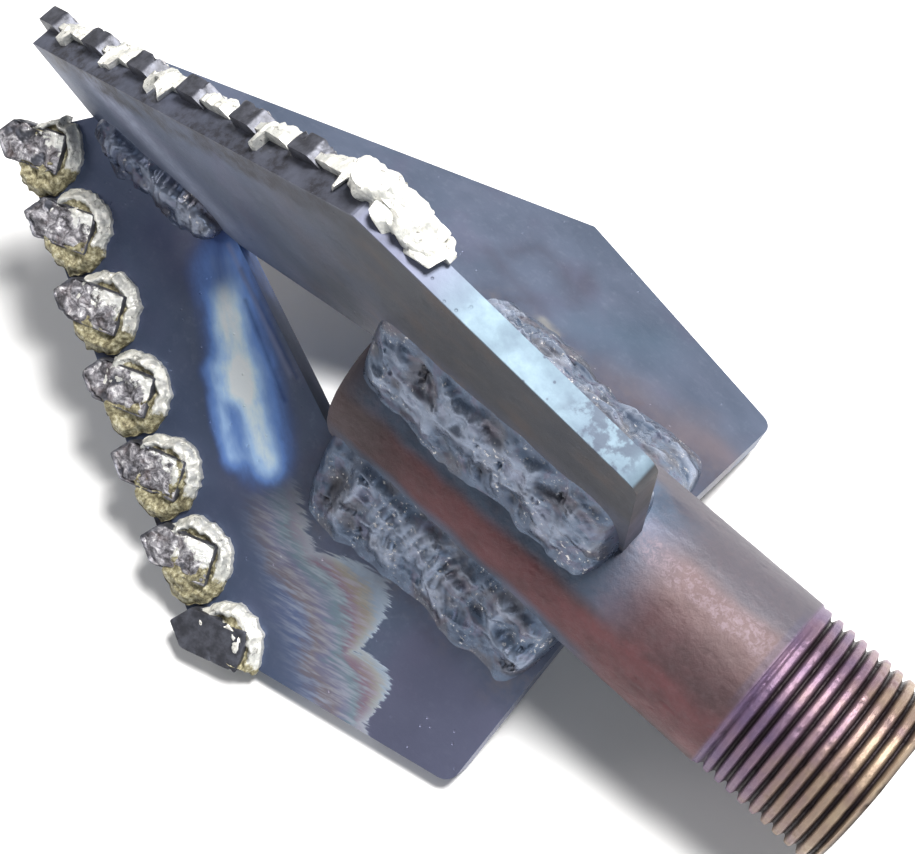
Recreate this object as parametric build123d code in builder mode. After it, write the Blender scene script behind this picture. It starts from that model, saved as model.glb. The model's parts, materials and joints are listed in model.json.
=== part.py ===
"""Three-wing drag bit: a threaded pipe shank, three welded plate blades and brazed cutters.

Every piece is built about the bit's own axis, with the nose towards +Z and the end of the
shank at zero, and blade angles counted anticlockwise as seen from the nose. The finished
pieces are then laid down together as the bit rests on the ground: along the gauge edge of
one blade and on the last cutter of another, with the third blade standing up. Laid down,
the origin is on the axis where the thread ends, and the nose points to +X and a little up.
"""

from math import atan2, cos, degrees, hypot, radians, sin, sqrt

from build123d import *
import os

os.makedirs("parts", exist_ok=True)

# ---------------------------------------------------------------- driving sizes, mm
# shank pipe
pipe_od = 42.0
pipe_wall = 5.5
mouth_z = 135.0  # nose end of the pipe, where the water leaves it
mouth_chamfer = 0.8
thread_major_d = 41.5
thread_length = 30.0
thread_end_chamfer = 1.2

# blade plates
blade_names = ("top", "left", "right")
first_blade_angle = 90.0
blade_thickness = 6.0
tip_r = 18.0
tip_z = 246.0
notch_depth = 17.0  # from the three points down to where the blades meet
nose_joint = 44.0  # how far the blades meet along the axis, down to the water windows
gauge_r = 80.0
gauge_z = 134.0
back_r = 63.0
back_z = 66.0
back_corner_r = 4.0

# cutters, pointed carbide tips with a gabled outer end
cutter_count = 7
cutter_pitch = 20.8  # along the cutting edge
first_cutter = -1.5  # from the blade's tip to the first cutter's point, along the cutting edge
cutter_length = 20.0
cutter_width = 10.0
cutter_thickness = 5.0
gable_height = 4.5  # how far the point stands out from the shoulders
cutter_lean = 20.0  # degrees that the point leans out from the bit's axis
cutter_reach = 3.0  # how far the point stands out past the cutting edge
pocket_depth = 1.0  # the seat milled into the leading face
cutter_chamfer = 0.5

# braze round each cutter
braze_d = 19.5
braze_top_d = 13.0
braze_height = 3.4
braze_centre_back = 14.3  # from the cutter's point to the middle of its braze
braze_wrap = 2.2  # how far it runs down over the cutting edge
braze_lip = 1.5  # how far it hangs out past the edge of the blade

# welds
weld_leg_pipe = 9.0
weld_leg_blade = 12.0
weld_bulge = 1.0
weld_end_gap = 1.0  # the bead stops this far short of the blade's ends
seam_leg = 6.0
seam_crest = 4.8  # from the valley between two blades out to the top of the bead
seam_end_gap = 1.0

# ---------------------------------------------------------------- values that follow
pipe_r = pipe_od / 2
bore_r = pipe_r - pipe_wall
half_t = blade_thickness / 2
blade_spacing = 360 / len(blade_names)
half_spacing = blade_spacing / 2
blade_angles = [first_blade_angle + i * blade_spacing for i in range(len(blade_names))]
notch_z = tip_z - notch_depth
apex_z = notch_z - nose_joint  # where the inner edges of the blades part
edge_length = hypot(gauge_r - tip_r, tip_z - gauge_z)
edge_r = (gauge_r - tip_r) / edge_length  # the cutting edge's direction, tip to gauge
edge_z = (gauge_z - tip_z) / edge_length
normal_r = -edge_z  # square to the cutting edge, outwards
normal_z = edge_r
lean_r = sin(radians(cutter_lean))  # the way a cutter points
lean_z = cos(radians(cutter_lean))
cutter_floor = half_t - pocket_depth
reach_all = 2 * hypot(gauge_r, tip_z)  # larger than the bit, for cutting tools


def on_bit(angle, radius, height, offset=0.0):
    """A point at a distance from the axis, a height along it and a step to the leading side."""
    a = radians(angle)
    return Vector(
        radius * cos(a) - offset * sin(a), radius * sin(a) + offset * cos(a), height
    )


def axial_plane(angle):
    """The plane that holds the bit's axis and points out at an angle.

    Its x runs out from the axis, its y runs towards the nose and its normal points to the
    trailing side.
    """
    out = Vector(cos(radians(angle)), sin(radians(angle)), 0)
    leading = Vector(-sin(radians(angle)), cos(radians(angle)), 0)
    return Plane(origin=(0, 0, 0), x_dir=out, z_dir=-leading)


def blade_outline():
    """A blade's outline in its axial plane, with its back carried into the pipe's wall."""
    with BuildLine() as line:
        Polyline(
            (0, apex_z),
            (0, notch_z),
            (tip_r, tip_z),
            (gauge_r, gauge_z),
            (back_r, back_z),
            (pipe_r - pipe_wall / 2, back_z),
            (pipe_r - pipe_wall / 2, mouth_z),
            (pipe_r, mouth_z),
            close=True,
        )
    return line.line


def cutter_point(index):
    """Place of a cutter's point as (distance from the axis, height along it)."""
    along = first_cutter + index * cutter_pitch
    point_r = tip_r + edge_r * along + normal_r * cutter_reach
    point_z = tip_z + edge_z * along + normal_z * cutter_reach
    return point_r, point_z


def cutter_plane(angle, index, height):
    """Plane on a blade's leading side with its origin at a cutter's point.

    Its y runs back from the point along the cutter and it lies at a height above the
    blade's middle plane, with its normal pointing away from the blade.
    """
    out = Vector(cos(radians(angle)), sin(radians(angle)), 0)
    leading = Vector(-sin(radians(angle)), cos(radians(angle)), 0)
    point_r, point_z = cutter_point(index)
    back = out * -lean_r + Vector(0, 0, -lean_z)
    origin = out * point_r + Vector(0, 0, point_z) + leading * height
    return Plane(origin=origin, x_dir=back.cross(leading), z_dir=leading)


def cutter_outline():
    """A cutter's outline: a bar whose outer end is a low gable."""
    half_w = cutter_width / 2
    with BuildLine() as line:
        Polyline(
            (0, 0),
            (half_w, gable_height),
            (half_w, cutter_length),
            (-half_w, cutter_length),
            (-half_w, gable_height),
            close=True,
        )
    return line.line


# ---------------------------------------------------------------- where the bit rests
last_r, last_z = cutter_point(cutter_count - 1)
shoulder_r = last_r - lean_r * gable_height + lean_z * cutter_width / 2
shoulder_z = last_z - lean_z * gable_height - lean_r * cutter_width / 2
cutter_rest = on_bit(
    blade_angles[1], shoulder_r, shoulder_z, cutter_floor + cutter_thickness
)
corner_rest = on_bit(blade_angles[2], gauge_r, gauge_z, -half_t)
back_rest = on_bit(blade_angles[2], back_r, back_z, -half_t)
ground_normal = (corner_rest - back_rest).cross(cutter_rest - back_rest).normalized()
if ground_normal.Y < 0:
    ground_normal = ground_normal * -1
nose = Vector(0, 0, 1)
ahead = nose - ground_normal * nose.dot(ground_normal)
ground = Plane(origin=(0, 0, thread_length), x_dir=ahead, z_dir=ground_normal)


def lay_down(piece, label):
    """Lay a finished piece on the ground with the rest of the bit, and write it."""
    laid = ground.to_local_coords(piece)
    laid.label = label
    export_step(laid, f"parts/{label}.step")
    return laid


# ---------------------------------------------------------------- shank pipe
with BuildPart() as shank_pipe:
    with BuildSketch(Plane.XZ):
        with BuildLine():
            Polyline(
                (bore_r, 0),
                (thread_major_d / 2 - thread_end_chamfer, 0),
                (thread_major_d / 2, thread_end_chamfer),
                (thread_major_d / 2, thread_length),
                (pipe_r, thread_length + pipe_r - thread_major_d / 2),
                (pipe_r, mouth_z - mouth_chamfer),
                (pipe_r - mouth_chamfer, mouth_z),
                (bore_r, mouth_z),
                close=True,
            )
        make_face()
    revolve(axis=Axis.Z)
lay_down(shank_pipe.part, "shank_pipe")

# ---------------------------------------------------------------- blades
for name, angle in zip(blade_names, blade_angles):
    with BuildPart() as blade:
        with BuildSketch(axial_plane(angle)):
            add(blade_outline())
            make_face()
        extrude(amount=half_t, both=True)
        # the inner end is mitred so that the three blades meet along the axis
        with BuildSketch(Plane.XY):
            with BuildLine():
                Polyline(
                    (0, 0),
                    on_bit(angle - half_spacing, reach_all, 0),
                    on_bit(angle + half_spacing, reach_all, 0),
                    close=True,
                )
            make_face()
        extrude(amount=reach_all, mode=Mode.INTERSECT)
        # the back sits on the pipe
        with BuildSketch(Plane.XY):
            Circle(pipe_r)
        extrude(amount=mouth_z, mode=Mode.SUBTRACT)
        back_corner = (
            blade.edges()
            .filter_by(GeomType.LINE)
            .filter_by(lambda e: abs(e.length - blade_thickness) < 1e-4)
            .sort_by_distance(on_bit(angle, back_r, back_z))[0]
        )
        fillet(back_corner, back_corner_r)
        # a seat for each cutter, open at the cutting edge
        for index in range(cutter_count):
            with BuildSketch(cutter_plane(angle, index, cutter_floor)):
                add(cutter_outline())
                make_face()
            extrude(amount=cutter_thickness, mode=Mode.SUBTRACT)
    lay_down(blade.part, f"blade_{name}")

    # ------------------------------------------------------------ cutters and their braze
    for index in range(cutter_count):
        with BuildPart() as cutter:
            with BuildSketch(cutter_plane(angle, index, cutter_floor)):
                add(cutter_outline())
                make_face()
            extrude(amount=cutter_thickness)
            face_edges = (
                cutter.faces()
                .sort_by(Axis((0, 0, 0), cutter_plane(angle, index, 0).z_dir))[-1]
                .edges()
            )
            chamfer(face_edges, cutter_chamfer)
        lay_down(cutter.part, f"cutter_{name}_{index + 1}")

        with BuildPart() as braze:
            middle = Plane(
                origin=cutter_plane(angle, index, half_t).from_local_coords(
                    Vector(0, braze_centre_back, 0)
                ),
                z_dir=cutter_plane(angle, index, half_t).z_dir,
            )
            with BuildSketch(middle):
                Circle(braze_d / 2)
            extrude(amount=-braze_wrap)
            with BuildSketch(middle) as foot:
                Circle(braze_d / 2)
            with BuildSketch(middle.offset(braze_height)) as crown:
                Circle(braze_top_d / 2)
            loft(sections=[foot.sketch, crown.sketch])
            with BuildSketch(axial_plane(angle)):
                add(blade_outline())
                make_face()
                offset(amount=braze_lip, kind=Kind.INTERSECTION)
            extrude(amount=blade_thickness + braze_height, both=True, mode=Mode.INTERSECT)
            add(cutter.part, mode=Mode.SUBTRACT)
            add(blade.part, mode=Mode.SUBTRACT)
        lay_down(braze.part, f"braze_{name}_{index + 1}")

    # ------------------------------------------------------------ welds to the pipe
    foot_r = sqrt(pipe_r**2 - half_t**2)
    foot_angle = degrees(atan2(half_t, foot_r))
    toe_angle = foot_angle + degrees(weld_leg_pipe / pipe_r)
    for side, side_name in ((1, "leading"), (-1, "trailing")):
        with BuildPart() as weld:
            with BuildSketch(Plane.XY.offset(back_z + weld_end_gap)):
                with BuildLine():
                    foot = on_bit(angle, foot_r, 0, side * half_t)
                    top = on_bit(angle, foot_r + weld_leg_blade, 0, side * half_t)
                    toe = on_bit(angle + side * toe_angle, pipe_r, 0)
                    on_pipe = on_bit(
                        angle + side * (foot_angle + toe_angle) / 2, pipe_r, 0
                    )
                    chord = (toe - top).normalized()
                    outwards = Vector(chord.Y, -chord.X, 0) * side
                    crest = (top + toe) / 2 + outwards * weld_bulge
                    Line(foot, top)
                    ThreePointArc(top, crest, toe)
                    ThreePointArc(toe, on_pipe, foot)
                make_face()
            extrude(amount=mouth_z - back_z - 2 * weld_end_gap)
        lay_down(weld.part, f"weld_{name}_{side_name}")

    # ------------------------------------------------------------ seam to the next blade
    valley_r = half_t / sin(radians(half_spacing))
    valley = on_bit(angle + half_spacing, valley_r, 0)
    on_this = valley + on_bit(angle, seam_leg, 0)
    on_next = valley + on_bit(angle + blade_spacing, seam_leg, 0)
    crest = on_bit(angle + half_spacing, valley_r + seam_crest, 0)
    with BuildPart() as seam:
        with BuildSketch(Plane.XY.offset(apex_z + seam_end_gap)):
            with BuildLine():
                Line(valley, on_this)
                ThreePointArc(on_this, crest, on_next)
                Line(on_next, valley)
            make_face()
        extrude(amount=notch_z - apex_z - 2 * seam_end_gap)
    lay_down(seam.part, f"nose_weld_{name}")
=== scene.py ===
"""Looks of a three-wing drag bit: rusty threaded pipe, heat-tinted blades, brazed cutters.

Every new surface is worked out in the bit's own frame, in millimetres: x and y square to the
axis, z along the axis from the end of the shank towards the nose. A blade's own frame is
(out from the axis, towards its leading side, along the axis).
"""

import json
from math import atan2, cos, hypot, pi, radians, sin, tau

import bmesh
import bpy
import numpy as np
from bpy.props import FloatProperty, FloatVectorProperty, PointerProperty
from mathutils import Matrix, Vector

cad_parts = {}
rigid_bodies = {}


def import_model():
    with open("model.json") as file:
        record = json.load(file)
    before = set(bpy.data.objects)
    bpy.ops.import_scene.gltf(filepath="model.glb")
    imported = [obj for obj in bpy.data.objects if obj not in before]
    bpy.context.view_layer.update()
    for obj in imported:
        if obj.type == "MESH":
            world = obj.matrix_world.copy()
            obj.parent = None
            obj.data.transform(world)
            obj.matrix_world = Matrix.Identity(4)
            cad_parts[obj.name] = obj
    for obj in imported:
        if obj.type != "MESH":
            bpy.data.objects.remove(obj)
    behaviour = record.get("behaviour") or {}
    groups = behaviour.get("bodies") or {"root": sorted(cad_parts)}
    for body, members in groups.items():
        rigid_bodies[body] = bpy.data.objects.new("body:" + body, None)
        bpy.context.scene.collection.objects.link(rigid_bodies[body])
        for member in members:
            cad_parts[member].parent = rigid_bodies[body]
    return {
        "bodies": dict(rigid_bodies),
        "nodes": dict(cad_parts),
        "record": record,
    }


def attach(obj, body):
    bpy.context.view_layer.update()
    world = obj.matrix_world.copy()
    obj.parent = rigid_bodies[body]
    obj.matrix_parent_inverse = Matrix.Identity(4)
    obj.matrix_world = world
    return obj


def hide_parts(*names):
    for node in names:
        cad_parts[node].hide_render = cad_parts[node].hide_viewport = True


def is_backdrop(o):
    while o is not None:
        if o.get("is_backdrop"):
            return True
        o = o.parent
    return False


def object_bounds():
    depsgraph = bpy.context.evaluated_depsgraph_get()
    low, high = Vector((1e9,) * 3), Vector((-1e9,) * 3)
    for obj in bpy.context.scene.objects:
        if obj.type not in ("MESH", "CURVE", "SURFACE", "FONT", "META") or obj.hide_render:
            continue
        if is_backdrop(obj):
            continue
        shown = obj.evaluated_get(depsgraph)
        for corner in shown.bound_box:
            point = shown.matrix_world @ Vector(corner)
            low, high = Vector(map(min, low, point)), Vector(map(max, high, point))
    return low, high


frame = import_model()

bl_info = {
    "name": "Drag bit looks",
    "version": (1, 0, 0),
    "blender": (4, 5, 0),
    "location": "View3D > Sidebar > Drag bit",
    "description": "Dresses the packed solids of a three-wing drag bit",
    "category": "Object",
}

cad_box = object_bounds()
MM = 0.001
BODY = next(iter(frame["bodies"]))
BLADES = {"top": 90.0, "left": 210.0, "right": 330.0}
HALF_SPACING = 180.0 / len(BLADES)
CUTTERS = range(1, 8)
NOTCH_DEPTH = 17.0  # millimetres from a blade's tip down to where the blades meet
BOX_MARGIN = 1e-4  # metres that a new surface stays inside the CAD box
MERGE_GAP = 2e-6  # metres, nearer corners are made one
FLOOR_REACH = 3.0  # metres from the middle of the floor to its sides

# ------------------------------------------------------------------ the bit's own frame
AXIS = -np.array(frame["record"]["mounts"][0]["axis"], float)
AXIS = AXIS / np.linalg.norm(AXIS)
LEVEL = np.array([0.0, 1.0, 0.0])


def rest_turn():
    """How far the resting bit is turned about its axis, from the top blade's widest face."""
    mesh = frame["nodes"]["blade_top"].data
    normals = np.empty(len(mesh.polygons) * 3)
    areas = np.empty(len(mesh.polygons))
    mesh.polygons.foreach_get("normal", normals)
    mesh.polygons.foreach_get("area", areas)
    widest = normals.reshape(-1, 3)[areas.argmax()]
    across, upright = widest @ LEVEL, widest @ np.cross(AXIS, LEVEL)
    return atan2(np.sign(across) * upright, abs(across))


SIDE = cos(rest_turn()) * LEVEL + sin(rest_turn()) * np.cross(AXIS, LEVEL)
UP = np.cross(AXIS, SIDE)
BIT_AXES = np.stack([SIDE, UP, AXIS])


def node_vertices(node):
    """A CAD node's corners in the row frame, in metres."""
    mesh = frame["nodes"][node].data
    flat = np.empty(len(mesh.vertices) * 3)
    mesh.vertices.foreach_get("co", flat)
    return flat.reshape(-1, 3)


SHANK_START = (node_vertices("shank_pipe") @ AXIS).min() / MM


def bit_points(node):
    """A CAD node's corners in the bit's frame, in millimetres."""
    points = node_vertices(node) @ BIT_AXES.T / MM
    points[:, 2] -= SHANK_START
    return points


def to_world(points):
    """Points in the bit's frame, in millimetres, as points in the row frame, in metres."""
    shifted = points + np.array([0.0, 0.0, SHANK_START])
    return shifted @ BIT_AXES * MM


def blade_axes(angle):
    """A blade's directions in the bit's frame: outwards, to the leading side, to the nose."""
    a = radians(angle)
    return np.array([[cos(a), sin(a), 0.0], [-sin(a), cos(a), 0.0], [0.0, 0.0, 1.0]])


def cutter_axes(angle, lean):
    """A cutter's directions in the bit's frame: outwards across it, leading, along its point."""
    out, leading, ahead = blade_axes(angle)
    across = out * cos(lean) - ahead * sin(lean)
    along = out * sin(lean) + ahead * cos(lean)
    return np.stack([across, leading, along])


# ------------------------------------------------------------------ shapes
def smooth(values, low, high):
    """Rises smoothly from 0 at low to 1 at high."""
    t = np.clip((values - low) / (high - low), 0.0, 1.0)
    return t * t * (3.0 - 2.0 * t)


def lattice(points, size, seed):
    """Smooth random heights from -1 to 1 over space, with lumps about as wide as size.

    Each corner of a cubic lattice gets a hashed height, and a point takes the smoothly
    weighted mean of the eight corners round it.
    """
    scaled = points / size + seed * 19.19
    cell = np.floor(scaled).astype(np.int64)
    part = scaled - cell
    weight = part * part * (3.0 - 2.0 * part)
    total = np.zeros(points.shape[:-1])
    for corner in np.ndindex(2, 2, 2):
        at = cell + np.array(corner)
        mixed = at[..., 0] * 73856093 ^ at[..., 1] * 19349663 ^ at[..., 2] * 83492791
        mixed = (mixed ^ (mixed >> 13)) * 1274126177 & 0x7FFFFFFF
        mixed = (mixed ^ (mixed >> 15)) * 2246822519 & 0x7FFFFFFF
        share = np.where(np.array(corner) == 1, weight, 1.0 - weight).prod(-1)
        total += share * (mixed / 0x3FFFFFFF - 1.0)
    return total


def rough(points, size, seed, octaves=4, gain=0.5):
    """Layers of lattice heights, each half as wide and gain times as high as the last."""
    total = np.zeros(points.shape[:-1])
    height = 1.0
    for octave in range(octaves):
        total += height * lattice(points, size / 2**octave, seed + octave)
        height *= gain
    return total


def pools(points, size, seed):
    """Rounded puddles with sharp creases between them: 1 less the size of lattice heights."""
    return 1.0 - 2.0 * np.abs(lattice(points, size, seed))


def stacked(*parts):
    """Points from their three coordinates, each an array or one number for all of them."""
    return np.stack(np.broadcast_arrays(*parts), -1)


def clean_up(mesh, flat=0.0):
    """Merges corners that meet, takes out edges flatter than an angle, turns faces outwards."""
    solid = bmesh.new()
    solid.from_mesh(mesh)
    bmesh.ops.remove_doubles(solid, verts=solid.verts, dist=MERGE_GAP)
    if flat:
        bmesh.ops.dissolve_limit(solid, angle_limit=flat, verts=solid.verts, edges=solid.edges)
    bmesh.ops.recalc_face_normals(solid, faces=solid.faces)
    solid.to_mesh(mesh)
    solid.free()


def make_mesh(name, points, wrap_rows=False, values=None):
    """A mesh from a grid of points, as rows by columns by 3, in the bit's frame.

    Neighbouring rows and columns are joined by four-sided faces. The last column joins the
    first, as the last row does where rows wrap, and points that meet are merged. A point past
    the CAD box is moved just inside it. Values are numbers for each point, kept on the mesh
    under their names.
    """
    rows, columns = points.shape[:2]
    index = np.arange(rows * columns).reshape(rows, columns)
    if wrap_rows:
        index = np.concatenate([index, index[:1]], 0)
    index = np.concatenate([index, index[:, :1]], 1)
    faces = np.stack([index[:-1, :-1], index[:-1, 1:], index[1:, 1:], index[1:, :-1]], -1)
    faces = faces.reshape(-1, 4)
    mesh = bpy.data.meshes.new(name)
    mesh.vertices.add(rows * columns)
    low, high = (np.array(corner) for corner in cad_box)
    placed = np.clip(to_world(points.reshape(-1, 3)), low + BOX_MARGIN, high - BOX_MARGIN)
    mesh.vertices.foreach_set("co", placed.ravel())
    mesh.loops.add(faces.size)
    mesh.loops.foreach_set("vertex_index", faces.ravel())
    mesh.polygons.add(len(faces))
    mesh.polygons.foreach_set("loop_start", np.arange(0, faces.size, 4))
    mesh.update(calc_edges=True)
    for key, value in (values or {}).items():
        attribute = mesh.attributes.new(key, "FLOAT", "POINT")
        attribute.data.foreach_set("value", np.asarray(value, np.float32).ravel())
    clean_up(mesh)
    return mesh


def put(name, mesh, material, replaced, sharp):
    """A finished piece that rides on the bit and stands for its CAD node, if it has one.

    Edges that turn by more than a sharp angle, in degrees, are shaded as edges.
    """
    piece = bpy.data.objects.new(name, mesh)
    bpy.context.scene.collection.objects.link(piece)
    mesh.materials.clear()
    mesh.materials.append(material)
    mesh.shade_smooth()
    mesh.set_sharp_from_angle(angle=radians(sharp))
    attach(piece, BODY)
    if replaced:
        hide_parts(replaced)
    return piece


# ------------------------------------------------------------------ materials
def colour(code):
    """A colour for a shader, from its six-figure code."""
    parts = [int(code[i : i + 2], 16) / 255 for i in (0, 2, 4)]
    return [p / 12.92 if p <= 0.04045 else ((p + 0.055) / 1.055) ** 2.4 for p in parts]


def length_setting(name, description, default):
    """A length that a user may change, in metres."""
    return FloatProperty(name=name, description=description, default=default, unit="LENGTH")


def colour_setting(name, description, default):
    """A colour that a user may change, from its linear parts."""
    return FloatVectorProperty(
        name=name, description=description, default=default, subtype="COLOR", min=0.0, max=1.0
    )


class Finish:
    """A material whose pattern lies in millimetres in the bit's or one blade's frame."""

    def __init__(self, name, axes=None):
        self.material = bpy.data.materials.new(name)
        self.material.use_nodes = True
        self.tree = self.material.node_tree
        self.shader = self.tree.nodes["Principled BSDF"]
        rows = (np.eye(3) if axes is None else axes) @ BIT_AXES
        origin = SHANK_START * (np.eye(3) if axes is None else axes)[:, 2]
        place = self.node("Mapping", {"Vector": self.node("TexCoord").outputs["Object"]})
        place.inputs["Scale"].default_value = [1 / MM] * 3
        place.inputs["Rotation"].default_value = Matrix(rows.tolist()).to_euler()
        place.inputs["Location"].default_value = -origin
        self.at = place.outputs[0]
        split = self.node("SeparateXYZ", {0: self.at})
        self.x, self.y, self.z = split.outputs

    def node(self, kind, inputs=None, **options):
        """Adds a node with its options, and sets or links its inputs."""
        made = self.tree.nodes.new("ShaderNode" + kind)
        for key, value in options.items():
            setattr(made, key, value)
        for key, value in (inputs or {}).items():
            if isinstance(value, bpy.types.NodeSocket):
                self.tree.links.new(value, made.inputs[key])
            elif value is not None:
                made.inputs[key].default_value = value
        return made

    def maths(self, operation, a, b=0.0):
        """What one operation makes of two numbers."""
        return self.node("Math", {0: a, 1: b}, operation=operation).outputs[0]

    def plus(self, a, b):
        """The sum of two numbers."""
        return self.maths("ADD", a, b)

    def times(self, a, b):
        """The product of two numbers."""
        return self.maths("MULTIPLY", a, b)

    def most(self, a, b):
        """The greater of two numbers."""
        return self.maths("MAXIMUM", a, b)

    def step(self, value, low, high, to_low=0.0, to_high=1.0):
        """Goes smoothly from one number to another as a value goes from low to high."""
        inputs = {"Value": value, "From Min": low, "From Max": high}
        inputs.update({"To Min": to_low, "To Max": to_high})
        return self.node("MapRange", inputs, interpolation_type="SMOOTHSTEP").outputs[0]

    def stretched(self, factors, turn=0.0):
        """The pattern's place turned about the blade's thickness and then scaled, for strokes."""
        turned = self.node("Mapping", {"Vector": self.at, "Rotation": (0.0, turn, 0.0)}).outputs[0]
        return self.node("Mapping", {"Vector": turned, "Scale": factors}).outputs[0]

    def ragged(self, size, height, detail=4.0, harsh=0.5):
        """Noise about zero, to make an edge ragged by up to half a height."""
        return self.times(self.plus(self.noise(size, detail, harsh), -0.5), height)

    def noise(self, size, detail=4.0, harsh=0.5, warp=0.0, at=None):
        """Cloudy noise with patches about as wide as size."""
        inputs = {"Vector": at or self.at, "Scale": 1 / size, "Detail": detail}
        inputs.update({"Roughness": harsh, "Distortion": warp})
        return self.node("TexNoise", inputs).outputs[0]

    def cells(self, size, feature="F1"):
        """Distance to the nearest of scattered points about size apart."""
        inputs = {"Vector": self.at, "Scale": 1 / size}
        return self.node("TexVoronoi", inputs, feature=feature).outputs["Distance"]

    def ramp(self, value, stops):
        """Colours along a value, from pairs of place and colour code."""
        made = self.node("ValToRGB", {0: value})
        elements = made.color_ramp.elements
        while len(elements) < len(stops):
            elements.new(1.0)
        for element, (place, code) in zip(elements, stops):
            element.position = place
            element.color = (*colour(code), 1.0)
        return made.outputs[0]

    def blend(self, share, under, over):
        """One colour over another, by a share from 0 to 1. A colour may be a code."""
        made = self.node("Mix", data_type="RGBA")
        for socket, value in ((0, share), (6, under), (7, over)):
            if isinstance(value, bpy.types.NodeSocket):
                self.tree.links.new(value, made.inputs[socket])
            elif isinstance(value, str):
                made.inputs[socket].default_value = (*colour(value), 1.0)
            else:
                made.inputs[socket].default_value = value
        return made.outputs[2]

    def along(self, start, direction):
        """How far a place lies from a start along a direction in the blade's plane."""
        out = self.times(self.plus(self.x, -start[0]), direction[0])
        return self.plus(out, self.times(self.plus(self.z, -start[1]), direction[1]))

    def stroke(self, start, end, reach, soft, ragged=0.0):
        """1 near a straight stroke in the blade's plane, fading to 0 about its reach."""
        run = (end[0] - start[0], end[1] - start[1])
        length = hypot(*run)
        ahead = (run[0] / length, run[1] / length)
        share = self.times(self.along(start, ahead), 1 / length)
        share.node.use_clamp = True
        past = self.plus(self.along(start, ahead), self.times(share, -length))
        aside = self.along(start, (ahead[1], -ahead[0]))
        square = self.plus(self.times(past, past), self.times(aside, aside))
        far = self.plus(self.maths("SQRT", square), ragged)
        return self.step(far, reach + soft, reach - soft)

    def near(self, value, middle, wide, soft):
        """1 where a value is within a width of a middle, fading to 0 past it."""
        off = self.maths("ABSOLUTE", self.plus(value, -middle))
        return self.step(off, wide + soft, wide)

    def attribute(self, name):
        """Numbers kept on the mesh."""
        return self.node("Attribute", attribute_name=name).outputs["Fac"]

    def bump(self, height, depth, under=None):
        """Relief of a depth in millimetres."""
        inputs = {"Height": height, "Distance": depth * MM, "Normal": under}
        return self.node("Bump", inputs).outputs[0]

    def done(self, base, roughness, metallic, normal=None, specular=0.5):
        """Wires the finish to the shader."""
        for key, value in (
            ("Base Color", base),
            ("Roughness", roughness),
            ("Metallic", metallic),
            ("Normal", normal),
        ):
            if isinstance(value, bpy.types.NodeSocket):
                self.tree.links.new(value, self.shader.inputs[key])
            elif value is not None:
                self.shader.inputs[key].default_value = value
        self.shader.inputs["Specular IOR Level"].default_value = specular
        return self.material


# ------------------------------------------------------------------ shank
class ShankSettings(bpy.types.PropertyGroup):
    """Sizes and colours of the threaded pipe."""

    pitch: length_setting("Thread pitch", "Distance from one turn of the thread to the next", 0.003)
    thread_depth: length_setting(
        "Thread depth", "From the crest of the thread down to its root", 0.0014
    )
    run_out: length_setting("Run-out", "Length over which the thread fades into the pipe", 0.0025)
    end_chamfer: length_setting("End chamfer", "Chamfer on the end of the thread", 0.0012)
    mouth_chamfer: length_setting(
        "Mouth chamfer", "Chamfer on the end where the water leaves", 0.0008
    )
    rust: colour_setting("Rust", "Colour of the rusty skin of the pipe", colour("523c3f"))


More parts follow.
